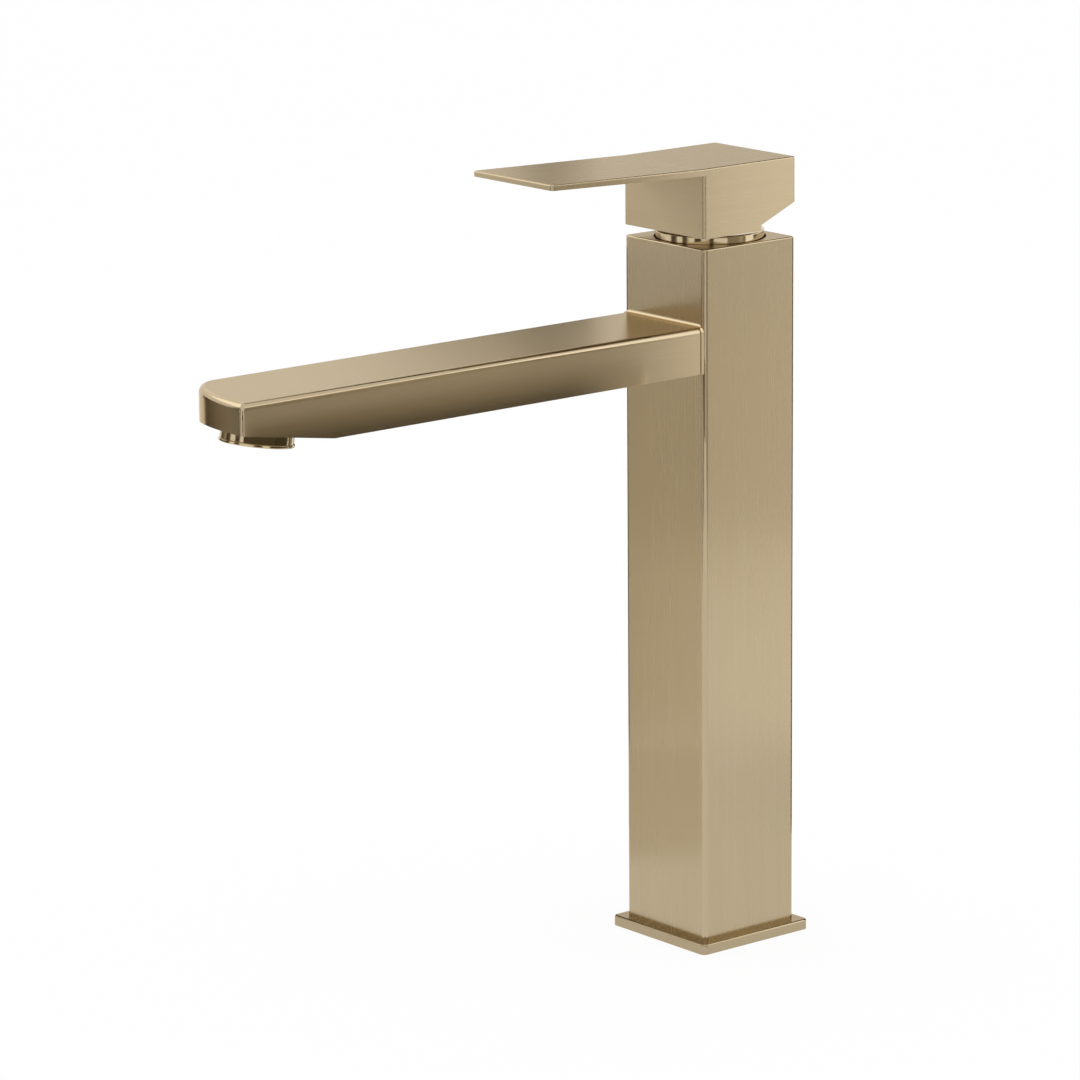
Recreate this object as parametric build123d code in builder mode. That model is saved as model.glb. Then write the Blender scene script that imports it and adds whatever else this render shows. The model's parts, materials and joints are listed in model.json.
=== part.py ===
from build123d import *
import os
from math import atan, cos, hypot, radians, sin, sqrt, tan

# Single-lever basin mixer in millimetres. +Z is up and the origin is on the column's axis, at the deck.
# The spout and the lever point to -Y. Hot water enters at -X and cold water at +X.

# Clearances
slip = 0.1
running = 0.06
free = 0.3
insert_gap = 0.2
film = 0.05

# Waterways, ports and O-rings
riser_x = 8.0
riser_y = -6.0
outlet_port_y = 7.0
channel_radius = 3.0
ring_section = 0.8
gland_width = 2.0
gland_setback = 2.2
riser_radius = 5.0
riser_wall = 1.0
riser_socket_depth = 7.0

# Inlet block
hose_thread_radius = 4.5
hose_thread_depth = 14.0
inlet_land = 3.0
shank_wall = 1.3
stud_thread_radius = 3.4
stud_thread_depth = 16.0
stud_y = 9.5

# Cartridge
disc_port_radius = 2.8
disc_rim = 1.0
disc_gap = 1.4
cartridge_wall = 2.2
thread_shoulder = 1.0
housing_roof = 2.2
guide_shoulder = 2.3
guide_flange_thickness = 2.7
guide_height = 11.0
carrier_lip = 0.2
carrier_floor = 0.6
moving_disc_thickness = 2.45
fixed_disc_thickness = 3.2
cartridge_base_thickness = 4.2
seal_land = 0.9
mixing_pocket_depth = 1.2
mixing_pocket_margin = 1.0
mixing_pocket_front = 2.4
mixing_pocket_length = 8.2

# Cartridge nut
nut_thread_length = 4.0
nut_bore_gap = 0.6
nut_wall = 2.5
nut_slot_width = 4.0
nut_slot_depth = 2.0

# Stem and pivot
lift_angle = 20.0
pivot_drop = 10.0
pivot_pin_radius = 1.5
pivot_pin_setback = 0.9
stem_side = 8.0
stem_tail = 1.25
stem_foot_drop = 3.5
stem_chamfer = 0.6
finger_radius = 1.8
ball_radius = 2.6
ball_depth = 2.1

# Column and valve head
column_top = 268.0
column_wall = 2.5
column_corner = 1.8
column_edge = 0.6
column_rim = 1.5
column_flange = 6.0
head_wall = 1.3
head_foot = 21.0

# Base plate, seal and screws
base_margin = 4.0
base_thickness = 4.0
base_corner = 2.0
base_edge = 0.8
seal_margin = 2.5
seal_width = 3.0
seal_thickness = 1.2
screw_land = 0.5
screw_radius = 1.9
screw_head_radius = 3.5
screw_head_height = 1.7
screw_head_depth = 0.3
screw_length = 13.0
screw_socket_width = 2.2
screw_socket_depth = 1.2

# Spout
spout_inset = 0.5
spout_depth = 17.4
spout_tip_depth = 11.2
spout_reach = 233.0
spout_tip_sweep = 19.0
spout_wall = 2.0
spout_edge = 2.6
spout_tip_corner = 1.2
bead_height = 1.2
bead_proud = 0.3
bevel_land = 3.5
outlet_land = 9.5
chamber_radius = 11.0
chamber_height = 3.5
nipple_radius = 4.2
nipple_wall = 1.0
nipple_socket_depth = 6.8
nipple_land = 4.0
gland_roof = 1.1

# Aerator
aerator_thread_radius = 12.0
aerator_thread_length = 5.0
aerator_rim = 1.5
aerator_proud = 5.5
aerator_step = 0.4
aerator_rim_height = 1.3
aerator_flat_width = 11.0
aerator_flat_angle = 57.0
aerator_wall = 1.8
aerator_lip = 0.8
aerator_lip_width = 1.0
aerator_edge = 0.5
washer_thickness = 1.5
washer_width = 2.5
screen_thickness = 0.8
screen_hole_radius = 0.5
screen_hole_margin = 1.7
screen_hole_rings = 5
insert_hole_radius = 0.75
insert_hole_margin = 2.8
insert_hole_rings = 4

# Cover ring
cover_gap = 0.7
cover_recess_depth = 2.5
cover_reveal = 1.0
cover_roof = 1.2
cover_mouth_gap = 0.7
cover_edge = 0.7

# Handle
handle_gap = 4.0
handle_height = 26.0
handle_corner = 1.0
handle_edge = 0.6
handle_recess_depth = 3.0
handle_recess_gap = 0.45
heel_reach = 5.5
heel_step = 2.1
heel_rise = 7.1
blade_reach = 94.5
blade_rise = 2.0
blade_root = 2.6
blade_tip = 2.1
blade_corner = 1.2
core_width = 22.0
core_front_wall = 5.5
core_length = 10.0
core_roof = 6.0
set_screw_radius = 2.45
set_screw_length = 8.0
set_screw_socket_width = 2.5
set_screw_socket_depth = 4.0
plug_radius = 3.0
plug_length = 2.8
plug_land = 0.8

# Ports, and the radii of the cartridge that they fit in
riser_places = [(-riser_x, riser_y), (riser_x, riser_y)]
port_places = riser_places + [(0, outlet_port_y)]
port_circle = hypot(riser_x, riser_y)
fixed_disc_radius = port_circle + disc_port_radius + disc_rim
housing_bore = fixed_disc_radius + disc_gap
cartridge_radius = housing_bore + cartridge_wall
seat_radius = cartridge_radius + slip
thread_bore_radius = seat_radius + thread_shoulder
guide_radius = housing_bore - guide_shoulder
nut_bore = guide_radius + nut_bore_gap
nut_collar_radius = nut_bore + nut_wall
port_seal_radius = channel_radius + seal_land + ring_section
gland_radius = riser_radius + 2 * ring_section + slip
nipple_gland_radius = nipple_radius + 2 * ring_section + slip

# The column is as wide as the cartridge needs, and the base, spout and handle follow it
insert_side = 2 * (thread_bore_radius + head_wall)
column_inner = insert_side + 2 * insert_gap
column_side = column_inner + 2 * column_wall
column_half = column_side / 2
base_side = column_side + 2 * base_margin
seal_side = base_side - 2 * seal_margin
spout_width = column_side - 2 * spout_inset
spout_half = spout_width / 2
cover_radius = column_half - column_rim - cover_gap
deck_opening_radius = port_circle + hose_thread_radius + shank_wall + insert_gap
screw_span = 2 * (deck_opening_radius + screw_head_radius + slip + screw_land) / sqrt(2)

# Heights of the handle and of the cartridge's stack, from the top down
handle_bottom = column_top + handle_gap
handle_top = handle_bottom + handle_height
handle_recess_top = handle_bottom + handle_recess_depth
set_screw_z = handle_bottom + heel_step + heel_rise + plug_land + plug_radius
stem_top = set_screw_z + set_screw_radius + stem_tail
cover_top = handle_bottom - cover_reveal
cover_floor = column_top - cover_recess_depth
head_top = column_top - column_flange
pivot_z = column_top - pivot_drop
stem_foot = pivot_z - stem_foot_drop
housing_top = head_top - nut_thread_length
guide_flange_top = housing_top - housing_roof - free
guide_flange_bottom = guide_flange_top - guide_flange_thickness
guide_top = guide_flange_top + guide_height
carrier_top = guide_flange_bottom - free
ball_z = carrier_top - ball_depth
socket_floor = ball_z - ball_radius - free
carrier_bottom = socket_floor - carrier_floor
moving_disc_bottom = carrier_bottom - moving_disc_thickness
fixed_disc_bottom = moving_disc_bottom - film - fixed_disc_thickness
seat_floor = fixed_disc_bottom - cartridge_base_thickness
head_bottom = seat_floor - head_foot
inlet_top = hose_thread_depth + inlet_land + riser_socket_depth

# The lever's tilt moves the disc and opens the guide's slot
lift = radians(lift_angle)
disc_travel = (pivot_z - ball_z) * sin(lift)
carrier_radius = housing_bore - disc_travel - free
slot_back = (stem_side / 2 + (guide_top - pivot_z) * sin(lift)) / cos(lift) + free
slot_front = stem_side / 2 * cos(lift) + (pivot_z - stem_foot) * sin(lift) + free

# Places along the spout
nipple_z = seat_floor - nipple_gland_radius - gland_roof
spout_bottom = nipple_z - nipple_radius - nipple_land
spout_top = spout_bottom + spout_depth
aerator_flange_radius = aerator_thread_radius + aerator_rim
aerator_bore = aerator_thread_radius - aerator_wall
aerator_body_radius = aerator_flange_radius - aerator_step
aerator_flat = sqrt(aerator_body_radius**2 - aerator_flat_width**2 / 4)
screen_hole_spacing = (aerator_bore - screen_hole_margin) / screen_hole_rings
insert_hole_spacing = (aerator_bore - insert_hole_margin) / insert_hole_rings
outlet_reach = spout_reach - aerator_flange_radius - outlet_land
bevel_reach = outlet_reach - aerator_flange_radius - bevel_land
bevel_angle = atan((spout_depth - spout_tip_depth) / (spout_reach - bevel_reach))
outlet_z = spout_bottom + (outlet_reach - bevel_reach) * tan(bevel_angle)
outlet_plane = Plane(
    origin=(0, -outlet_reach, outlet_z),
    x_dir=(1, 0, 0),
    z_dir=(0, -sin(bevel_angle), -cos(bevel_angle)),
)
chamber_floor = spout_top - spout_wall - chamber_height
chamber_middle = chamber_floor + chamber_height / 2

os.makedirs("parts", exist_ok=True)


def save(part, name):
    part.label = name
    export_step(part, f"parts/{name}.step")


# Base plate, with the deck opening, the seal's groove and the screws' countersinks
with BuildPart() as base_plate:
    with BuildSketch():
        RectangleRounded(base_side, base_side, base_corner)
    extrude(amount=base_thickness)
    fillet(base_plate.faces().sort_by(Axis.Z)[-1].edges(), base_edge)
    with BuildSketch():
        Circle(deck_opening_radius)
        with GridLocations(screw_span, screw_span, 2, 2):
            Circle(screw_radius + slip)
    extrude(amount=base_thickness, mode=Mode.SUBTRACT)
    with BuildSketch():
        Rectangle(seal_side, seal_side)
        Rectangle(seal_side - 2 * seal_width, seal_side - 2 * seal_width, mode=Mode.SUBTRACT)
    extrude(amount=seal_thickness, mode=Mode.SUBTRACT)
    with GridLocations(screw_span, screw_span, 2, 2):
        Cylinder(
            screw_head_radius + slip,
            screw_head_depth,
            align=(Align.CENTER, Align.CENTER, Align.MIN),
            mode=Mode.SUBTRACT,
        )
    with Locations((0, 0, screw_head_depth)):
        with GridLocations(screw_span, screw_span, 2, 2):
            Cone(
                screw_head_radius + slip,
                screw_radius + slip,
                screw_head_height,
                align=(Align.CENTER, Align.CENTER, Align.MIN),
                mode=Mode.SUBTRACT,
            )
save(base_plate.part, "base_plate")

# Square rubber seal in the base plate's underside
with BuildPart() as base_seal:
    with BuildSketch():
        Rectangle(seal_side, seal_side)
        Rectangle(seal_side - 2 * seal_width, seal_side - 2 * seal_width, mode=Mode.SUBTRACT)
    extrude(amount=seal_thickness)
save(base_seal.part, "base_seal")

# Countersunk screws that hold the base plate to the inlet block
with BuildPart() as base_screws:
    with Locations((0, 0, screw_head_depth)):
        with GridLocations(screw_span, screw_span, 2, 2):
            Cone(
                screw_head_radius,
                screw_radius,
                screw_head_height,
                align=(Align.CENTER, Align.CENTER, Align.MIN),
            )
            Cylinder(
                screw_radius,
                screw_length,
                align=(Align.CENTER, Align.CENTER, Align.MIN),
            )
    with BuildSketch(Plane.XY.offset(screw_head_depth)):
        with GridLocations(screw_span, screw_span, 2, 2):
            RegularPolygon(screw_socket_width / 2, 6)
    extrude(amount=screw_socket_depth, mode=Mode.SUBTRACT)
save(base_screws.part, "base_screws")

# Inlet block, whose shank fills the deck opening and carries the hose and stud threads
with BuildPart() as inlet_block:
    with BuildSketch(Plane.XY.offset(base_thickness)):
        Rectangle(insert_side, insert_side)
    extrude(amount=inlet_top - base_thickness)
    with BuildSketch():
        Circle(deck_opening_radius - insert_gap)
    extrude(amount=base_thickness)
    with BuildSketch():
        with Locations(*riser_places):
            Circle(hose_thread_radius)
    extrude(amount=hose_thread_depth, mode=Mode.SUBTRACT)
    with BuildSketch(Plane.XY.offset(hose_thread_depth)):
        with Locations(*riser_places):
            Circle(channel_radius)
    extrude(amount=inlet_top - hose_thread_depth, mode=Mode.SUBTRACT)
    with BuildSketch():
        with Locations((0, stud_y)):
            Circle(stud_thread_radius)
    extrude(amount=stud_thread_depth, mode=Mode.SUBTRACT)
    with BuildSketch(Plane.XY.offset(inlet_top - riser_socket_depth)):
        with Locations(*riser_places):
            Circle(riser_radius + slip)
    extrude(amount=riser_socket_depth, mode=Mode.SUBTRACT)
    with BuildSketch(Plane.XY.offset(inlet_top - gland_setback - gland_width)):
        with Locations(*riser_places):
            Circle(gland_radius)
    extrude(amount=gland_width, mode=Mode.SUBTRACT)
    with BuildSketch(Plane.XY.offset(base_thickness)):
        with GridLocations(screw_span, screw_span, 2, 2):
            Circle(screw_radius + film)
    extrude(amount=screw_length, mode=Mode.SUBTRACT)
save(inlet_block.part, "inlet_block")

# Column, a square tube with a flange at its top that the cover ring sits in
with BuildPart() as column_shell:
    with BuildSketch(Plane.XY.offset(base_thickness)):
        RectangleRounded(column_side, column_side, column_corner)
    extrude(amount=column_top - base_thickness)
    fillet(column_shell.faces().sort_by(Axis.Z)[-1].edges(), column_edge)
    with BuildSketch(Plane.XY.offset(base_thickness)):
        Rectangle(column_inner, column_inner)
    extrude(amount=head_top - base_thickness, mode=Mode.SUBTRACT)
    with BuildSketch(Plane.XY.offset(head_top)):
        Circle(thread_bore_radius + insert_gap)
    extrude(amount=column_flange, mode=Mode.SUBTRACT)
    with BuildSketch(Plane.XY.offset(cover_floor)):
        Circle(cover_radius + cover_gap)
    extrude(amount=cover_recess_depth, mode=Mode.SUBTRACT)
    with BuildSketch(Plane.XZ.offset(column_half)):
        with Locations((0, nipple_z)):
            Circle(nipple_radius + insert_gap)
    extrude(amount=-column_wall, mode=Mode.SUBTRACT)
save(column_shell.part, "column_shell")

# Riser tubes from the inlet block to the valve head
for riser_name, (place_x, place_y) in zip(("hot_riser_tube", "cold_riser_tube"), riser_places):
    with BuildPart() as riser_tube:
        with BuildSketch(Plane.XY.offset(inlet_top - riser_socket_depth)):
            with Locations((place_x, place_y)):
                Circle(riser_radius)
                Circle(riser_radius - riser_wall, mode=Mode.SUBTRACT)
        extrude(amount=head_bottom - inlet_top + 2 * riser_socket_depth)
    save(riser_tube.part, riser_name)

# O-rings in the glands at both ends of the riser tubes
with BuildPart() as riser_o_rings:
    for gland_z in (
        inlet_top - gland_setback - gland_width / 2,
        head_bottom + gland_setback + gland_width / 2,
    ):
        with Locations(*[(x, y, gland_z) for x, y in riser_places]):
            Torus(riser_radius + ring_section + film, ring_section)
save(riser_o_rings.part, "riser_o_rings")

# Valve head, with the cartridge's seat, the nut's thread and the waterways
with BuildPart() as valve_head:
    with BuildSketch(Plane.XY.offset(head_bottom)):
        Rectangle(insert_side, insert_side)
    extrude(amount=head_top - head_bottom)
    with BuildSketch(Plane.XY.offset(seat_floor)):
        Circle(seat_radius)
    extrude(amount=head_top - seat_floor, mode=Mode.SUBTRACT)
    with BuildSketch(Plane.XY.offset(housing_top)):
        Circle(thread_bore_radius)
    extrude(amount=nut_thread_length, mode=Mode.SUBTRACT)
    with BuildSketch(Plane.XY.offset(head_bottom)):
        with Locations(*riser_places):
            Circle(riser_radius + slip)
    extrude(amount=riser_socket_depth, mode=Mode.SUBTRACT)
    with BuildSketch(Plane.XY.offset(head_bottom + gland_setback)):
        with Locations(*riser_places):
            Circle(gland_radius)
    extrude(amount=gland_width, mode=Mode.SUBTRACT)
    with BuildSketch(Plane.XY.offset(head_bottom)):
        with Locations(*riser_places):
            Circle(channel_radius)
    extrude(amount=seat_floor - head_bottom, mode=Mode.SUBTRACT)
    with BuildSketch(Plane.XY.offset(nipple_z)):
        with Locations((0, outlet_port_y)):
            Circle(channel_radius)
    extrude(amount=seat_floor - nipple_z, mode=Mode.SUBTRACT)
    with BuildSketch(Plane.XZ.offset(-outlet_port_y)):
        with Locations((0, nipple_z)):
            Circle(channel_radius)
    extrude(amount=insert_side / 2 + outlet_port_y, mode=Mode.SUBTRACT)
    with BuildSketch(Plane.XZ.offset(insert_side / 2)):
        with Locations((0, nipple_z)):
            Circle(nipple_radius + slip)
    extrude(amount=-nipple_socket_depth, mode=Mode.SUBTRACT)
    with BuildSketch(Plane.XZ.offset(insert_side / 2 - gland_setback)):
        with Locations((0, nipple_z)):
            Circle(nipple_gland_radius)
    extrude(amount=-gland_width, mode=Mode.SUBTRACT)
save(valve_head.part, "valve_head")

# Nipple that carries the mixed water from the valve head through the column's wall into the spout
with BuildPart() as spout_nipple:
    with BuildSketch(Plane.XZ.offset(insert_side / 2 - nipple_socket_depth)):
        with Locations((0, nipple_z)):
            Circle(nipple_radius)
            Circle(nipple_radius - nipple_wall, mode=Mode.SUBTRACT)
    extrude(amount=nipple_socket_depth + insert_gap + column_wall + spout_wall)
save(spout_nipple.part, "spout_nipple")

with BuildPart() as nipple_o_ring:
    with Locations((0, -insert_side / 2 + gland_setback + gland_width / 2, nipple_z)):
        Torus(nipple_radius + ring_section + film, ring_section, rotation=(90, 0, 0))
save(nipple_o_ring.part, "nipple_o_ring")

# Solder bead round the spout's root, hollow on top, where it meets the column's front face
with BuildPart() as solder_bead:
    with BuildSketch(Plane.YZ):
        with BuildLine():
            Polyline(
                (-column_half - bead_height, spout_top),
                (-column_half - bead_height, spout_bottom),
                (-column_half, spout_bottom),
                (-column_half, spout_top + bead_height),
            )
            CenterArc((-column_half - bead_height, spout_top + bead_height), bead_height, 270, 90)
        make_face()
    extrude(amount=spout_half + bead_proud, both=True)
    with BuildSketch(Plane.XZ.offset(column_half)):
        with BuildLine():
            Polyline(
                (-spout_half - bead_proud, spout_top + bead_height),
                (-spout_half - bead_proud, spout_bottom),
                (spout_half + bead_proud, spout_bottom),
                (spout_half + bead_proud, spout_top + bead_height),
                close=True,
            )
        outline = make_face()
        fillet(outline.vertices().group_by(Axis.Y)[-1], spout_edge + bead_height)
    extrude(amount=bead_height, mode=Mode.INTERSECT)

# Spout, a hollow bar with a bevelled underside, one square tip corner and one swept tip corner
with BuildPart() as spout_shell:
    with BuildSketch(Plane.XY.offset(spout_bottom)):
        with BuildLine():
            Polyline(
                (-spout_half, -spout_reach + spout_tip_sweep),
                (-spout_half, -column_half),
                (spout_half, -column_half),
                (spout_half, -spout_reach),
            )
            EllipticalCenterArc(
                (spout_half, -spout_reach + spout_tip_sweep),
                spout_width,
                spout_tip_sweep,
                start_angle=180,
                arc_size=90,
            )
        make_face()
    extrude(amount=spout_depth)
    with BuildSketch(Plane.YZ):
        with BuildLine():
            Polyline(
                (-column_half, spout_bottom),
                (-column_half, spout_top),
                (-spout_reach, spout_top),
                (-spout_reach, spout_top - spout_tip_depth),
                (-bevel_reach, spout_bottom),
                close=True,
            )
        make_face()
    extrude(amount=spout_half, both=True, mode=Mode.INTERSECT)
    tip_edge = spout_shell.edges().filter_by(Axis.Z).sort_by(Axis.Y)[0]
    fillet(tip_edge, spout_tip_corner)
    top_face = spout_shell.faces().sort_by(Axis.Z)[-1]
    fillet(top_face.edges().sort_by(Axis.Y)[:-1], spout_edge)
    add(solder_bead.part)
    with BuildSketch(Plane.XY.offset(spout_bottom + spout_wall)):
        with Locations((0, (-column_half - spout_wall - bevel_reach) / 2)):
            Rectangle(spout_width - 2 * spout_wall, bevel_reach - column_half - spout_wall)
    extrude(amount=spout_depth - 2 * spout_wall, mode=Mode.SUBTRACT)
    with BuildSketch(Plane.XY.offset(chamber_floor)):
        with Locations((0, -outlet_reach)):
            Circle(chamber_radius)
        with Locations((0, -(outlet_reach + bevel_reach) / 2)):
            Rectangle(2 * chamber_radius, outlet_reach - bevel_reach)
    extrude(amount=chamber_height, mode=Mode.SUBTRACT)
    with BuildSketch(outlet_plane):
        Circle(aerator_thread_radius + slip)
    extrude(amount=-aerator_thread_length - washer_thickness, mode=Mode.SUBTRACT)
    with BuildSketch(outlet_plane):
        Circle(aerator_thread_radius - washer_width)
    extrude(amount=outlet_z - chamber_middle, mode=Mode.SUBTRACT)
    with BuildSketch(Plane.XZ.offset(column_half)):
        with Locations((0, nipple_z)):
            Circle(nipple_radius + slip)
    extrude(amount=spout_wall, mode=Mode.SUBTRACT)
save(spout_shell.part, "spout_shell")

# Aerator, square to the bevelled underside, with a rim at its mouth and two flats for a spanner
with BuildPart() as aerator_housing:
    with BuildSketch(outlet_plane.offset(aerator_proud - aerator_rim_height)):
        Circle(aerator_flange_radius)
    extrude(amount=aerator_rim_height)
    fillet(aerator_housing.edges().filter_by(GeomType.CIRCLE), aerator_edge)
    with BuildSketch(outlet_plane):
        Circle(aerator_body_radius)
        Rectangle(
            2 * aerator_flange_radius,
            2 * aerator_flat,
            rotation=-aerator_flat_angle,
            mode=Mode.INTERSECT,
        )
    extrude(amount=aerator_proud - aerator_rim_height)
    with BuildSketch(outlet_plane):
        Circle(aerator_thread_radius)
    extrude(amount=-aerator_thread_length)
    with BuildSketch(outlet_plane.offset(-aerator_thread_length)):
        Circle(aerator_bore)
    extrude(amount=aerator_thread_length + aerator_proud - aerator_lip, mode=Mode.SUBTRACT)
    with BuildSketch(outlet_plane):
        Circle(aerator_bore - aerator_lip_width)
    extrude(amount=aerator_proud, mode=Mode.SUBTRACT)
save(aerator_housing.part, "aerator_housing")

with BuildPart() as aerator_washer:
    with BuildSketch(outlet_plane.offset(-aerator_thread_length - washer_thickness)):
        Circle(aerator_thread_radius)
        Circle(aerator_thread_radius - washer_width, mode=Mode.SUBTRACT)
    extrude(amount=washer_thickness)
save(aerator_washer.part, "aerator_washer")

with BuildPart() as aerator_screen:
    with BuildSketch(outlet_plane.offset(-aerator_thread_length)):
        Circle(aerator_bore - slip)
        Circle(screen_hole_radius, mode=Mode.SUBTRACT)
        for ring in range(1, screen_hole_rings + 1):
            with PolarLocations(ring * screen_hole_spacing, 6 * ring):
                Circle(screen_hole_radius, mode=Mode.SUBTRACT)
    extrude(amount=screen_thickness)
save(aerator_screen.part, "aerator_screen")

with BuildPart() as aerator_insert:
    insert_top = -aerator_thread_length + screen_thickness
    with BuildSketch(outlet_plane.offset(insert_top)):
        Circle(aerator_bore - slip)
        Circle(insert_hole_radius, mode=Mode.SUBTRACT)
        for ring in range(1, insert_hole_rings + 1):
            with PolarLocations(ring * insert_hole_spacing, 6 * ring):
                Circle(insert_hole_radius, mode=Mode.SUBTRACT)
    extrude(amount=aerator_proud - aerator_lip - insert_top)
save(aerator_insert.part, "aerator_insert")

# Cartridge base with its ports and the grooves for their seals
with BuildPart() as cartridge_base:
    with BuildSketch(Plane.XY.offset(seat_floor)):
        Circle(cartridge_radius)
        with Locations(*port_places):
            Circle(channel_radius, mode=Mode.SUBTRACT)
    extrude(amount=cartridge_base_thickness)
    with BuildSketch(Plane.XY.offset(seat_floor)):
        with Locations(*port_places):
            Circle(port_seal_radius + ring_section + film)
            Circle(port_seal_radius - ring_section - film, mode=Mode.SUBTRACT)
    extrude(amount=2 * (ring_section + film), mode=Mode.SUBTRACT)
save(cartridge_base.part, "cartridge_base")

with BuildPart() as port_seals:
    with Locations(*[(x, y, seat_floor + ring_section + film) for x, y in port_places]):
        Torus(port_seal_radius, ring_section)
save(port_seals.part, "port_seals")

with BuildPart() as fixed_ceramic_disc:
    with BuildSketch(Plane.XY.offset(fixed_disc_bottom)):
        Circle(fixed_disc_radius)
        with Locations(*port_places):
            Circle(disc_port_radius, mode=Mode.SUBTRACT)
    extrude(amount=fixed_disc_thickness)
save(fixed_ceramic_disc.part, "fixed_ceramic_disc")

# Moving disc, whose T-shaped pocket joins the inlet ports to the outlet port as it slides to -Y
with BuildPart() as moving_ceramic_disc:
    with BuildSketch(Plane.XY.offset(moving_disc_bottom)):
        Circle(carrier_radius - carrier_lip)
    extrude(amount=moving_disc_thickness)
    with BuildSketch(Plane.XY.offset(moving_disc_bottom)):
        with Locations((0, mixing_pocket_length / 2 - mixing_pocket_front)):
            Rectangle(2 * (riser_x + mixing_pocket_margin), mixing_pocket_length)
        with Locations((0, outlet_port_y)):
            Circle(channel_radius)
    extrude(amount=mixing_pocket_depth, mode=Mode.SUBTRACT)
save(moving_ceramic_disc.part, "moving_ceramic_disc")

with BuildPart() as disc_carrier:
    with BuildSketch(Plane.XY.offset(carrier_bottom)):
        Circle(carrier_radius)
    extrude(amount=carrier_top - carrier_bottom)
    with BuildSketch(Plane.XY.offset(socket_floor)):
        Circle(ball_radius + free)
    extrude(amount=carrier_top - socket_floor, mode=Mode.SUBTRACT)
save(disc_carrier.part, "disc_carrier")

with BuildPart() as cartridge_housing:
    with BuildSketch(Plane.XY.offset(fixed_disc_bottom)):
        Circle(cartridge_radius)
    extrude(amount=housing_top - fixed_disc_bottom)
    with BuildSketch(Plane.XY.offset(fixed_disc_bottom)):
        Circle(housing_bore)
    extrude(amount=housing_top - housing_roof - fixed_disc_bottom, mode=Mode.SUBTRACT)
    with BuildSketch(Plane.XY.offset(housing_top - housing_roof)):
        Circle(guide_radius + running)
    extrude(amount=housing_roof, mode=Mode.SUBTRACT)
save(cartridge_housing.part, "cartridge_housing")

# Ring nut that clamps the cartridge, with a collar for the cover ring
with BuildPart() as cartridge_nut:
    with BuildSketch(Plane.XY.offset(housing_top)):
        Circle(thread_bore_radius - slip)
    extrude(amount=nut_thread_length)
    with BuildSketch(Plane.XY.offset(head_top)):
        Circle(nut_collar_radius)
    extrude(amount=cover_top - cover_roof - head_top)
    with BuildSketch(Plane.XY.offset(housing_top)):
        Circle(nut_bore)
    extrude(amount=cover_top - housing_top, mode=Mode.SUBTRACT)
    with BuildSketch(Plane.XY.offset(cover_top - cover_roof - nut_slot_depth)):
        Rectangle(2 * nut_collar_radius, nut_slot_width)
        Rectangle(nut_slot_width, 2 * nut_collar_radius)
    extrude(amount=nut_slot_depth, mode=Mode.SUBTRACT)
save(cartridge_nut.part, "cartridge_nut")

# Polished cover ring in the column's top
with BuildPart() as cover_ring:
    with BuildSketch(Plane.XY.offset(cover_floor)):
        Circle(cover_radius)
    extrude(amount=cover_top - cover_floor)
    fillet(cover_ring.edges().sort_by(Axis.Z)[-1], cover_edge)
    with BuildSketch(Plane.XY.offset(cover_floor)):
        Circle(nut_collar_radius + slip)
    extrude(amount=cover_top - cover_roof - cover_floor, mode=Mode.SUBTRACT)
    with BuildSketch(Plane.XY.offset(cover_floor)):
        Circle(nut_bore + cover_mouth_gap)
    extrude(amount=cover_top - cover_floor, mode=Mode.SUBTRACT)
save(cover_ring.part, "cover_ring")

# Stem guide, which turns in the cartridge housing and holds the pivot pin
with BuildPart() as stem_guide:
    with BuildSketch(Plane.XY.offset(guide_flange_bottom)):
        Circle(housing_bore - free)
    extrude(amount=guide_flange_thickness)
    with BuildSketch(Plane.XY.offset(guide_flange_top)):
        Circle(guide_radius)
    extrude(amount=guide_height)
    with BuildSketch(Plane.XY.offset(guide_flange_bottom)):
        with Locations((0, (slot_back - slot_front) / 2)):
            Rectangle(stem_side + 2 * free, slot_back + slot_front)
    extrude(amount=guide_top - guide_flange_bottom, mode=Mode.SUBTRACT)
    with BuildSketch(Plane.YZ):
        with Locations((0, pivot_z)):
            Circle(pivot_pin_radius + film)
    extrude(amount=guide_radius - pivot_pin_setback, both=True, mode=Mode.SUBTRACT)
save(stem_guide.part, "stem_guide")

with BuildPart() as pivot_pin:
    with BuildSketch(Plane.YZ):
        with Locations((0, pivot_z)):
            Circle(pivot_pin_radius)
    extrude(amount=guide_radius - pivot_pin_setback, both=True)
save(pivot_pin.part, "pivot_pin")

# Stem, a square bar above the pivot with a ball-ended finger below it
with BuildPart() as stem:
    with BuildSketch(Plane.XY.offset(stem_foot)):
        Rectangle(stem_side, stem_side)
    extrude(amount=stem_top - stem_foot)
    chamfer(stem.faces().sort_by(Axis.Z)[-1].edges(), stem_chamfer)
    with BuildSketch(Plane.XY.offset(ball_z)):
        Circle(finger_radius)
    extrude(amount=stem_foot - ball_z)
    with Locations((0, 0, ball_z)):
        Sphere(ball_radius)
    with BuildSketch(Plane.YZ):
        with Locations((0, pivot_z)):
            Circle(pivot_pin_radius + running)
    extrude(amount=stem_side, both=True, mode=Mode.SUBTRACT)
save(stem.part, "stem")

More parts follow.
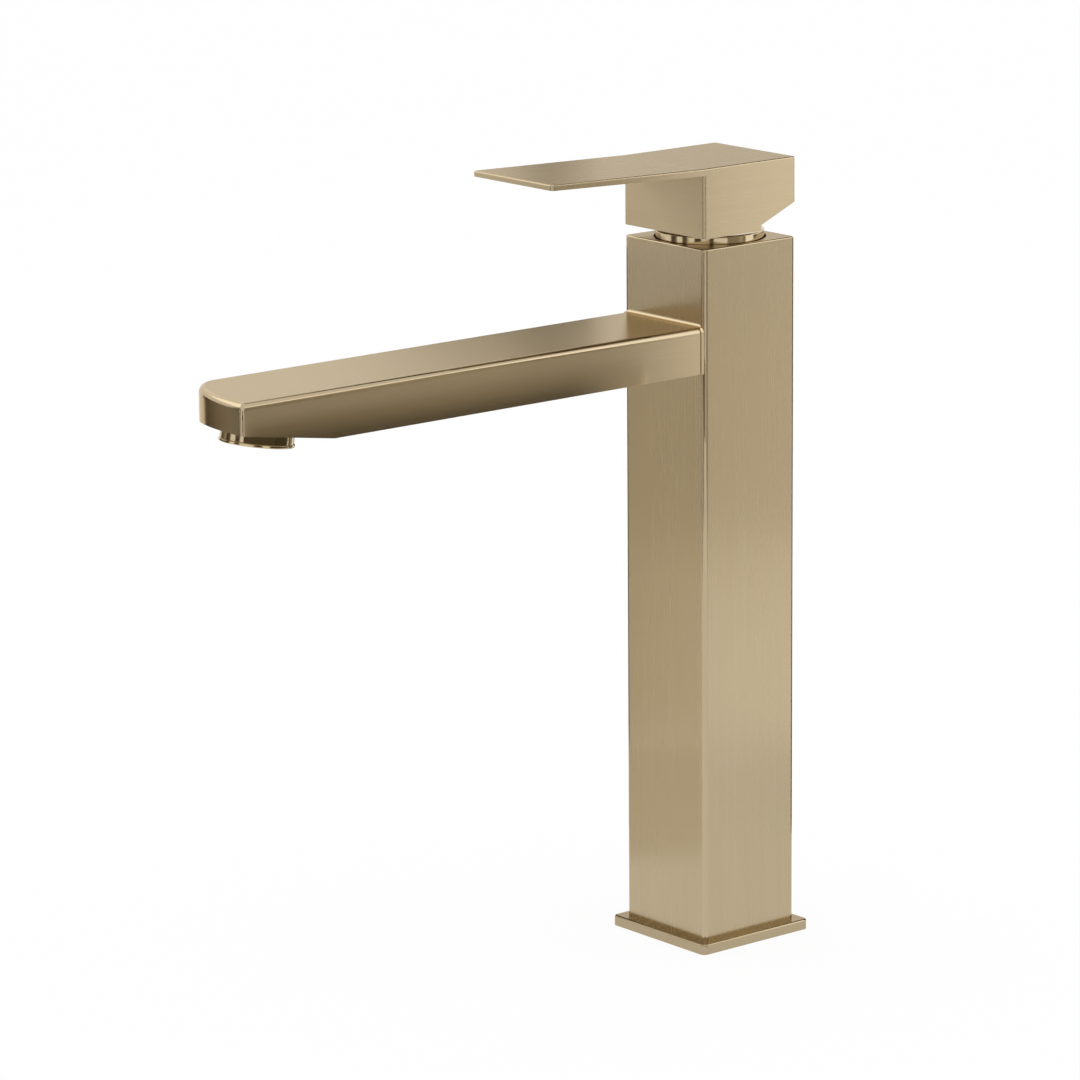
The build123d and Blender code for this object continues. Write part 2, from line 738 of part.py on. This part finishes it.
# Lever handle, block and blade in one casting
with BuildPart() as lever_handle:
    with BuildSketch(Plane.YZ):
        with BuildLine():
            Polyline(
                (column_half, handle_top),
                (-column_half, handle_top),
                (-blade_reach, handle_top + blade_rise),
                (-blade_reach, handle_top + blade_rise - blade_tip),
                (-column_half, handle_top - blade_root),
                (-column_half, handle_bottom),
                (heel_reach, handle_bottom),
                (heel_reach, handle_bottom + heel_step),
                (column_half, handle_bottom + heel_step + heel_rise),
                close=True,
            )
        make_face()
    extrude(amount=column_half, both=True)
    upright = lever_handle.edges().filter_by(Axis.Z).group_by(Axis.Y)
    fillet(upright[1] + upright[3], handle_corner)
    fillet(lever_handle.edges().filter_by(Axis.Z).group_by(Axis.Y)[0], blade_corner)
    top_faces = lever_handle.faces().filter_by(lambda face: face.normal_at().Z > 0.99)
    block_top, blade_top = top_faces.sort_by(Axis.Y, reverse=True)
    crease = block_top.edges().sort_by(Axis.Y)[0]
    top_edges = block_top.edges() + blade_top.edges()
    outline = top_edges.filter_by(lambda edge: edge.center() != crease.center())
    fillet(outline, handle_edge)
    with BuildSketch(Plane.XY.offset(handle_bottom)):
        Circle(cover_radius + handle_recess_gap)
    extrude(amount=handle_recess_depth, mode=Mode.SUBTRACT)
    with BuildSketch(Plane.XY.offset(handle_recess_top)):
        Rectangle(stem_side + 2 * slip, stem_side + 2 * slip)
    extrude(amount=stem_top + slip - handle_recess_top, mode=Mode.SUBTRACT)
    with BuildSketch(Plane.XY.offset(handle_recess_top)):
        with Locations((0, -column_half + core_front_wall + core_length / 2)):
            Rectangle(core_width, core_length)
    extrude(amount=handle_top - core_roof - handle_recess_top, mode=Mode.SUBTRACT)
    with BuildSketch(Plane.XZ.offset(-column_half)):
        with Locations((0, set_screw_z)):
            Circle(set_screw_radius + film)
    extrude(amount=column_half, mode=Mode.SUBTRACT)
    with BuildSketch(Plane.XZ.offset(-column_half)):
        with Locations((0, set_screw_z)):
            Circle(plug_radius + film)
    extrude(amount=plug_length, mode=Mode.SUBTRACT)
save(lever_handle.part, "lever_handle")

# Set screw that grips the stem from behind, and the plug that hides its hole
with BuildPart() as handle_set_screw:
    with BuildSketch(Plane.XZ.offset(-stem_side / 2)):
        with Locations((0, set_screw_z)):
            Circle(set_screw_radius)
    extrude(amount=-set_screw_length)
    with BuildSketch(Plane.XZ.offset(-stem_side / 2 - set_screw_length)):
        with Locations((0, set_screw_z)):
            RegularPolygon(set_screw_socket_width / 2, 6)
    extrude(amount=set_screw_socket_depth, mode=Mode.SUBTRACT)
save(handle_set_screw.part, "handle_set_screw")

with BuildPart() as screw_cover_plug:
    with BuildSketch(Plane.XZ.offset(-column_half + plug_length)):
        with Locations((0, set_screw_z)):
            Circle(plug_radius)
    extrude(amount=-plug_length)
save(screw_cover_plug.part, "screw_cover_plug")
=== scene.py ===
import json
import math

import bpy
from mathutils import Matrix, Vector

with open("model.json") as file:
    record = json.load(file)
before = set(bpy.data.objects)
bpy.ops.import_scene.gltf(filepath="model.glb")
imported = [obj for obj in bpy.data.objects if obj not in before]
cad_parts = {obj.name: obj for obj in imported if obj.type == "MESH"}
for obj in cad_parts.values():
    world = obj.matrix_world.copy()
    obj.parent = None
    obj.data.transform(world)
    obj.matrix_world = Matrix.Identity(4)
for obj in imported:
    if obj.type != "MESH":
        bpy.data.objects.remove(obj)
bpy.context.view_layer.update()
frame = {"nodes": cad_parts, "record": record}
nodes = frame["nodes"]

# Lengths are in metres, angles in degrees, and colours are linear.

# Camera: the photograph's view of the column's front and right faces
CAMERA_AZIMUTH = 50.566
CAMERA_ELEVATION = 13.122
CAMERA_ROLL = -0.463
CAMERA_DISTANCE = 2.0
CAMERA_AIM = Vector((-0.01654, -0.06924, 0.15962))
CAMERA_SENSOR_MM = 36.0
CAMERA_LENS_MM = 179.98
CAMERA_CLIP = (0.1, 60.0)

# Surface colours: the light and the deep tone of each
GOLD = ((0.520, 0.425, 0.278, 1.0), (0.490, 0.396, 0.254, 1.0))
# Painted shade: the base plate's gold is a darker copy of the same gold, standing in for the dimmer
# reflections in its low faces
BASE_GOLD_PAINTED_SHADE = ((0.455, 0.368, 0.238, 1.0), (0.425, 0.340, 0.215, 1.0))
POLISH = ((0.600, 0.495, 0.325, 1.0), (0.560, 0.455, 0.290, 1.0))
BRASS = ((0.62, 0.43, 0.17, 1.0), (0.50, 0.33, 0.12, 1.0))
STEEL = ((0.60, 0.59, 0.57, 1.0), (0.47, 0.46, 0.45, 1.0))
CERAMIC = ((0.86, 0.85, 0.82, 1.0), (0.79, 0.78, 0.75, 1.0))
CARTRIDGE_PLASTIC = ((0.78, 0.78, 0.76, 1.0), (0.70, 0.70, 0.68, 1.0))
AERATOR_PLASTIC = ((0.085, 0.085, 0.088, 1.0), (0.055, 0.055, 0.058, 1.0))
RUBBER = ((0.045, 0.045, 0.046, 1.0), (0.025, 0.025, 0.026, 1.0))
EDGE_TINT = (0.93, 0.86, 0.75, 1.0)

# Brushed metal. A face is square to an axis if its normal reaches this far along it, and a normal's
# longest part tells a rounded edge from a face. A grain is a scale and a detail of noise, stretched
# along the lines, and its wear is how far it moves the roughness.
SQUARE_TO_AXIS = 0.72
EDGE_TO_FACE = (0.955, 0.995)
GRAIN_ALONG = 0.012
FINE_GRAIN = (2600.0, 3.0)
BROAD_GRAIN = (420.0, 2.0)
FINE_SHARE = 0.6
BROAD_SHARE = 0.4
GRAIN_RAMP = (0.30, 0.70)
GRAIN_WEAR = 0.02
GRAIN_BUMP = 0.00002
ANISOTROPY = 0.8
ANISOTROPY_TURN = 0.25
STRETCH = {
    "X": (GRAIN_ALONG, 1.0, 1.0),
    "Y": (1.0, GRAIN_ALONG, 1.0),
    "Z": (1.0, 1.0, GRAIN_ALONG),
}
DIRECTION = {"X": (1.0, 0.0, 0.0), "Y": (0.0, 1.0, 0.0), "Z": (0.0, 0.0, 1.0)}

# Mottled surfaces. Their wear is how far the mottle moves the roughness, and their bumps are finer
# than the mottle.
EVEN = (1.0, 1.0, 1.0)
NOISE_DETAIL = 3.0
NOISE_ROUGHNESS = 0.55
MOTTLE_DETAIL = 4.0
MOTTLE_RAMP = (0.32, 0.68)
MOTTLE_WEAR = 0.08
BUMP_FINENESS = 6.0

# Sockets of a Mix node that mixes vectors
MIX_FACTOR = 0
MIX_VECTOR_A = 4
MIX_VECTOR_B = 5
MIX_VECTOR_RESULT = 1

# Studio. The floor's share is how far it shows as plain white, and the cards' wear is how far their
# mottle moves their tone.
WHITE = (1.0, 1.0, 1.0, 1.0)
MATT_ROUGHNESS = 0.9
MATT_SPECULAR = 0.1
FLOOR_SIZE = 12.0
FLOOR_TONES = ((0.90, 0.90, 0.895, 1.0), (0.93, 0.93, 0.92, 1.0))
FLOOR_MOTTLE = 6.0
FLOOR_SHARE = 0.93
CARD_MOTTLE = 8.0
CARD_WEAR = 0.02

# Tones of the studio cards, from dark to pale
DARK = (0.09, 0.072, 0.046, 1.0)
GREY = (0.19, 0.165, 0.12, 1.0)
DIM = (0.32, 0.285, 0.225, 1.0)
DUSK = (0.40, 0.35, 0.28, 1.0)
HALF = (0.51, 0.455, 0.37, 1.0)
SAND = (0.92, 0.84, 0.70, 1.0)
PALE = (0.95, 0.90, 0.80, 1.0)
PALEST = (0.97, 0.94, 0.88, 1.0)

# Colours of the lamps
NEUTRAL = (1.0, 1.0, 1.0)
WARM = (1.0, 0.86, 0.62)

# Bearings run from +X towards +Y. The camera sees the first of these two mirrored in faces that look
# to +X, and the second in level faces.
RIGHT_MIRROR = 39.4
LEVEL_MIRROR = 140.6

# Name, bearing, distance from the column's axis, sides, heights, tone at the first side,
# and tone at the second side where it differs
CARDS = (
    ("spout_tip_flag", RIGHT_MIRROR, 0.63, (-0.60, -0.25), (0.0, 0.70), DIM),
    ("spout_flag", RIGHT_MIRROR, 0.63, (-0.25, -0.10), (0.0, 0.70), DIM, HALF),
    ("spout_root_flag", RIGHT_MIRROR, 0.62, (-0.12, -0.028), (0.0, 0.70), HALF, GREY),
    ("spout_near_flag", 0.0, 0.045, (-0.213, -0.070), (0.190, 0.2205), DARK),
    ("spout_root_near_flag", 0.0, 0.045, (-0.070, -0.030), (0.190, 0.2205), DARK, PALE),
    ("left_card", 212.0, 0.64, (-0.40, 0.15), (0.0, 0.118), SAND),
    ("left_mid_card", 216.0, 0.30, (-0.20, 0.20), (0.0, 0.085), PALE),
    ("left_near_card", 216.0, 0.12, (-0.10, 0.10), (0.0, 0.045), PALEST),
    ("left_flag", 241.0, 0.62, (-0.12, 0.06), (0.0, 0.55), DARK),
    ("left_second_flag", 265.0, 0.62, (-0.06, 0.06), (0.0, 0.55), DARK),
    ("camera_flag", 322.0, 1.10, (-0.09, 0.10), (0.0, 0.80), DARK),
    ("tip_flag", 180.0, 0.13, (0.225, 0.315), (0.10, 0.245), DARK, DUSK),
    ("aerator_flag", 294.4, 0.314, (-0.04, 0.04), (0.10, 0.25), DARK),
    ("left_edge_flag", 180.0, 0.15, (-0.05, 0.097), (0.0, 0.240), DARK),
    ("right_edge_flag", 90.0, 0.15, (-0.09, 0.06), (0.0, 0.258), DARK),
    ("blade_flag", LEVEL_MIRROR, 0.80, (0.036, 0.064), (0.30, 0.50), DARK),
    ("spout_top_flag", LEVEL_MIRROR, 0.30, (0.040, 0.078), (0.05, 0.320), DARK),
    ("spout_top_fade", LEVEL_MIRROR, 0.30, (0.078, 0.165), (0.05, 0.320), DARK, WHITE),
    ("back_band", 105.0, 0.80, (-0.45, 0.50), (0.70, 1.45), DARK),
)

# Name, bearing, distance from the column's axis, height, sideways offset, size, radiance,
# downward tilt and colour
SOFTBOXES = (
    ("left_key", 203.0, 0.95, 0.88, 0.0, (0.70, 0.50), 0.8, 38.0, NEUTRAL),
    ("right_high", 48.0, 0.90, 0.72, 0.0, (0.50, 0.60), 0.7, 28.0, NEUTRAL),
    ("right_low", RIGHT_MIRROR, 1.20, 0.22, 0.235, (0.50, 0.40), 0.35, 0.0, NEUTRAL),
    ("right_strip", RIGHT_MIRROR, 0.66, 0.058, 0.228, (0.54, 0.116), 0.26, 0.0, WARM),
    ("right_mid_strip", RIGHT_MIRROR, 0.30, 0.045, 0.13, (0.30, 0.09), 0.28, 0.0, NEUTRAL),
    ("back_soft", LEVEL_MIRROR, 0.95, 0.70, 0.10, (1.20, 0.30), 0.16, 0.0, NEUTRAL),
)


def link(tree, source, target):
    tree.links.new(source, target)


def feed(tree, value, target):
    """Sets a socket to a number, or links another socket to it."""
    if isinstance(value, (int, float)):
        target.default_value = value
    else:
        link(tree, value, target)


def node(tree, kind, **values):
    made = tree.nodes.new(kind)
    for name, value in values.items():
        setattr(made, name, value)
    return made


def math_node(tree, operation, *values):
    made = node(tree, "ShaderNodeMath", operation=operation)
    for slot, value in enumerate(values):
        feed(tree, value, made.inputs[slot])
    return made.outputs[0]


def mix(tree, factor, first, second):
    made = node(tree, "ShaderNodeMix", data_type="FLOAT")
    feed(tree, factor, made.inputs["Factor"])
    feed(tree, first, made.inputs["A"])
    feed(tree, second, made.inputs["B"])
    return made.outputs["Result"]


def ramp(tree, factor, low, high, start=0.0, end=1.0):
    made = node(tree, "ShaderNodeValToRGB")
    made.color_ramp.elements[0].position = start
    made.color_ramp.elements[1].position = end
    made.color_ramp.elements[0].color = low
    made.color_ramp.elements[1].color = high
    link(tree, factor, made.inputs["Fac"])
    return made.outputs["Color"]


def span(tree, factor, low, high):
    made = node(tree, "ShaderNodeMapRange")
    made.inputs["To Min"].default_value = low
    made.inputs["To Max"].default_value = high
    link(tree, factor, made.inputs["Value"])
    return made.outputs["Result"]


def smooth(tree, value, low, high):
    made = node(tree, "ShaderNodeMapRange", interpolation_type="SMOOTHSTEP")
    made.inputs["From Min"].default_value = low
    made.inputs["From Max"].default_value = high
    link(tree, value, made.inputs["Value"])
    return made.outputs["Result"]


def noise(tree, coordinates, stretch, scale, detail=NOISE_DETAIL):
    mapping = node(tree, "ShaderNodeMapping")
    mapping.inputs["Scale"].default_value = stretch
    link(tree, coordinates, mapping.inputs["Vector"])
    made = node(tree, "ShaderNodeTexNoise")
    made.inputs["Scale"].default_value = scale
    made.inputs["Detail"].default_value = detail
    made.inputs["Roughness"].default_value = NOISE_ROUGHNESS
    link(tree, mapping.outputs["Vector"], made.inputs["Vector"])
    return made.outputs["Fac"]


def split(tree, vector):
    made = node(tree, "ShaderNodeSeparateXYZ")
    link(tree, vector, made.inputs[0])
    return made.outputs


def add_bump(tree, shader, height, strength, distance):
    made = node(tree, "ShaderNodeBump")
    made.inputs["Strength"].default_value = strength
    made.inputs["Distance"].default_value = distance
    link(tree, height, made.inputs["Height"])
    link(tree, made.outputs["Normal"], shader.inputs["Normal"])


def new_material(name):
    made = bpy.data.materials.new(name)
    made.use_nodes = True
    tree = made.node_tree
    place = node(tree, "ShaderNodeTexCoord").outputs
    return made, tree, tree.nodes["Principled BSDF"], place


def matt_material(name):
    made, tree, shader, place = new_material(name)
    shader.inputs["Roughness"].default_value = MATT_ROUGHNESS
    shader.inputs["Specular IOR Level"].default_value = MATT_SPECULAR
    return made, tree, shader, place


def brushed(name, colours, along, across, turned_on, depth, rough, turned_rough, edge_rough):
    """Brushed metal. Its lines run along one axis, but on the faces square to turned_on they run
    along across. Rounded edges are rubbed smoother than the faces."""
    light, deep = colours
    made, tree, shader, place = new_material(name)
    parts = split(tree, place["Normal"])
    facing = {axis: math_node(tree, "ABSOLUTE", parts[axis]) for axis in "XYZ"}
    turned = math_node(tree, "GREATER_THAN", facing[turned_on], SQUARE_TO_AXIS)
    sideways = math_node(tree, "MAXIMUM", facing["X"], facing["Y"])
    flatness = math_node(tree, "MAXIMUM", sideways, facing["Z"])
    flat = smooth(tree, flatness, *EDGE_TO_FACE)

    def grain(scale, detail):
        first = noise(tree, place["Object"], STRETCH[along], scale, detail)
        second = noise(tree, place["Object"], STRETCH[across], scale, detail)
        return mix(tree, turned, first, second)

    fine = math_node(tree, "MULTIPLY", grain(*FINE_GRAIN), FINE_SHARE)
    broad = math_node(tree, "MULTIPLY", grain(*BROAD_GRAIN), BROAD_SHARE)
    both = math_node(tree, "ADD", fine, broad)
    link(tree, ramp(tree, both, deep, light, *GRAIN_RAMP), shader.inputs["Base Color"])
    face_rough = span(tree, turned, rough, turned_rough)
    edged = mix(tree, flat, edge_rough, face_rough)
    worn = math_node(tree, "ADD", edged, span(tree, both, -GRAIN_WEAR, GRAIN_WEAR))
    link(tree, worn, shader.inputs["Roughness"])
    add_bump(tree, shader, both, depth, GRAIN_BUMP)
    shader.inputs["Metallic"].default_value = 1.0
    shader.inputs["Specular Tint"].default_value = EDGE_TINT
    shader.inputs["Anisotropic"].default_value = ANISOTROPY
    shader.inputs["Anisotropic Rotation"].default_value = ANISOTROPY_TURN
    tangent = node(tree, "ShaderNodeMix", data_type="VECTOR")
    link(tree, turned, tangent.inputs[MIX_FACTOR])
    for axis, slot in ((along, MIX_VECTOR_A), (across, MIX_VECTOR_B)):
        way = node(tree, "ShaderNodeVectorTransform", vector_type="VECTOR")
        way.convert_from = "OBJECT"
        way.convert_to = "WORLD"
        way.inputs[0].default_value = DIRECTION[axis]
        link(tree, way.outputs[0], tangent.inputs[slot])
    link(tree, tangent.outputs[MIX_VECTOR_RESULT], shader.inputs["Tangent"])
    return made


def mottled(name, colours, rough, metal, scale, depth, distance):
    """A fine mottled surface: polished or cast metal, plastic, ceramic or rubber."""
    light, deep = colours
    made, tree, shader, place = new_material(name)
    coarse = noise(tree, place["Object"], EVEN, scale, MOTTLE_DETAIL)
    link(tree, ramp(tree, coarse, deep, light, *MOTTLE_RAMP), shader.inputs["Base Color"])
    worn = span(tree, coarse, rough - MOTTLE_WEAR, rough + MOTTLE_WEAR)
    link(tree, worn, shader.inputs["Roughness"])
    fine = noise(tree, place["Object"], EVEN, scale * BUMP_FINENESS)
    add_bump(tree, shader, fine, depth, distance)
    shader.inputs["Metallic"].default_value = metal
    return made


column_metal = brushed(
    "brushed_gold_column", GOLD, along="Z", across="Y", turned_on="Z",
    depth=0.007, rough=0.27, turned_rough=0.27, edge_rough=0.14)
# The base plate's darker gold is painted shade, not a finish of its own
painted_shade_base_metal = brushed(
    "brushed_gold_base_painted_shade", BASE_GOLD_PAINTED_SHADE, along="Y", across="X", turned_on="Y",
    depth=0.02, rough=0.27, turned_rough=0.27, edge_rough=0.18)
spout_metal = brushed(
    "brushed_gold_spout", GOLD, along="Y", across="Z", turned_on="Y",
    depth=0.02, rough=0.25, turned_rough=0.20, edge_rough=0.12)
handle_metal = brushed(
    "brushed_gold_handle", GOLD, along="Y", across="X", turned_on="Y",
    depth=0.03, rough=0.27, turned_rough=0.38, edge_rough=0.22)
polish = mottled(
    "polished_gold_plating", POLISH,
    rough=0.12, metal=1.0, scale=220.0, depth=0.02, distance=0.00001)
brass = mottled(
    "turned_brass", BRASS,
    rough=0.34, metal=1.0, scale=260.0, depth=0.10, distance=0.00002)
steel = mottled(
    "stainless_steel", STEEL,
    rough=0.30, metal=1.0, scale=300.0, depth=0.08, distance=0.00002)
ceramic = mottled(
    "lapped_ceramic", CERAMIC,
    rough=0.22, metal=0.0, scale=500.0, depth=0.03, distance=0.00001)
cartridge_plastic = mottled(
    "moulded_plastic", CARTRIDGE_PLASTIC,
    rough=0.42, metal=0.0, scale=420.0, depth=0.10, distance=0.00003)
aerator_plastic = mottled(
    "aerator_plastic", AERATOR_PLASTIC,
    rough=0.40, metal=0.0, scale=420.0, depth=0.10, distance=0.00003)
rubber = mottled(
    "black_rubber", RUBBER,
    rough=0.62, metal=0.0, scale=700.0, depth=0.25, distance=0.00005)

BY_SLOT = {
    "brushed_gold": column_metal,
    "polished_gold": polish,
    "raw_brass": brass,
    "steel": steel,
    "ceramic": ceramic,
    "cartridge_plastic": cartridge_plastic,
    "aerator_plastic": aerator_plastic,
    "rubber": rubber,
}
BY_NODE = {
    "base_plate": painted_shade_base_metal,
    "spout_shell": spout_metal,
    "lever_handle": handle_metal,
    "screw_cover_plug": polish,
}


def dress():
    slot_of = {row["node"]: row["material_slot"] for row in frame["record"]["subparts"]}
    for name, piece in nodes.items():
        finish = BY_NODE.get(name) or BY_SLOT[slot_of[name]]
        if not piece.material_slots:
            piece.data.materials.append(finish)
        for slot in piece.material_slots:
            slot.material = finish


def add_sheet(name, corners, material):
    mesh = bpy.data.meshes.new(name)
    mesh.from_pydata(corners, [], [(0, 1, 2, 3)])
    mesh.materials.append(material)
    sheet = bpy.data.objects.new(name, mesh)
    bpy.context.scene.collection.objects.link(sheet)
    return sheet


def add_floor():
    """A pale floor that keeps the object's shadow, and that the camera and reflections see as
    nearly white."""
    made, tree, shader, place = matt_material("studio_floor")
    mottle = noise(tree, place["Object"], EVEN, FLOOR_MOTTLE)
    link(tree, ramp(tree, mottle, *FLOOR_TONES), shader.inputs["Base Color"])
    white = node(tree, "ShaderNodeEmission")
    white.inputs["Color"].default_value = WHITE
    white.inputs["Strength"].default_value = 1.0
    rays = node(tree, "ShaderNodeLightPath").outputs
    seen = math_node(tree, "MAXIMUM", rays["Is Camera Ray"], rays["Is Glossy Ray"])
    seen = math_node(tree, "MAXIMUM", seen, rays["Is Transmission Ray"])
    shown = node(tree, "ShaderNodeMixShader")
    link(tree, math_node(tree, "MULTIPLY", seen, FLOOR_SHARE), shown.inputs[0])
    link(tree, shader.outputs[0], shown.inputs[1])
    link(tree, white.outputs[0], shown.inputs[2])
    link(tree, shown.outputs[0], tree.nodes["Material Output"].inputs["Surface"])
    reach = FLOOR_SIZE / 2
    corners = [(x * reach, y * reach, 0.0) for x, y in ((-1, -1), (1, -1), (1, 1), (-1, 1))]
    floor = add_sheet("studio_floor", corners, made)


def add_world():
    world = bpy.data.worlds.new("studio")
    bpy.context.scene.world = world
    world.use_nodes = True
    backdrop = world.node_tree.nodes["Background"]
    backdrop.inputs["Color"].default_value = WHITE
    backdrop.inputs["Strength"].default_value = 1.0


def add_card(name, bearing, distance, sides, heights, shade, fade=None):
    """A matt card that only reflections see. It stands square to a bearing from the column's
    axis, and its tone fades to another from its first side to its second."""
    left, right = sides
    low, high = heights
    made, tree, shader, place = matt_material(name)
    across = smooth(tree, split(tree, place["Object"])["X"], left, right)
    mottle = noise(tree, place["Object"], EVEN, CARD_MOTTLE)
    tone = math_node(tree, "ADD", across, span(tree, mottle, -CARD_WEAR, CARD_WEAR))
    link(tree, ramp(tree, tone, shade, fade or shade), shader.inputs["Base Color"])
    corners = [(left, 0, low), (right, 0, low), (right, 0, high), (left, 0, high)]
    card = add_sheet(name, corners, made)
    turn = math.radians(bearing)
    card.location = (math.cos(turn) * distance, math.sin(turn) * distance, 0.0)
    card.rotation_euler = (0.0, 0.0, turn + math.pi / 2)
    card.visible_camera = False
    card.visible_diffuse = False
    card.visible_shadow = False


def add_softbox(name, bearing, distance, height, offset, size, radiance, tilt, colour):
    """A soft box that stands at a bearing from the column's axis, moved sideways, and faces it."""
    turn = math.radians(bearing)
    outward = Vector((math.cos(turn), math.sin(turn), 0.0))
    sideways = Vector((-math.sin(turn), math.cos(turn), 0.0))
    lamp = bpy.data.lights.new(name, "AREA")
    lamp.shape = "RECTANGLE"
    lamp.size, lamp.size_y = size
    lamp.energy = radiance * math.pi * size[0] * size[1]
    lamp.color = colour
    box = bpy.data.objects.new(name, lamp)
    box.location = outward * distance + sideways * offset + Vector((0.0, 0.0, height))
    box.rotation_euler = (math.radians(90.0 - tilt), 0.0, math.radians(bearing + 90.0))
    box.visible_camera = False
    bpy.context.scene.collection.objects.link(box)


def add_camera():
    azimuth = math.radians(CAMERA_AZIMUTH)
    elevation = math.radians(CAMERA_ELEVATION)
    roll = math.radians(CAMERA_ROLL)
    level = math.cos(elevation)
    back = Vector((math.sin(azimuth) * level, -math.cos(azimuth) * level, math.sin(elevation)))
    right = Vector((math.cos(azimuth), math.sin(azimuth), 0.0))
    up = back.cross(right)
    across = right * math.cos(roll) + up * math.sin(roll)
    upright = up * math.cos(roll) - right * math.sin(roll)
    data = bpy.data.cameras.new("photo_camera")
    data.sensor_width = CAMERA_SENSOR_MM
    data.lens = CAMERA_LENS_MM
    data.clip_start, data.clip_end = CAMERA_CLIP
    camera = bpy.data.objects.new("photo_camera", data)
    bpy.context.scene.collection.objects.link(camera)
    turn = Matrix((across, upright, back)).transposed().to_4x4()
    camera.matrix_world = Matrix.Translation(CAMERA_AIM + back * CAMERA_DISTANCE) @ turn
    bpy.context.scene.camera = camera


dress()
add_floor()
add_world()
for row in CARDS:
    add_card(*row)
for row in SOFTBOXES:
    add_softbox(*row)
add_camera()

bpy.context.scene.view_settings.view_transform = "Standard"
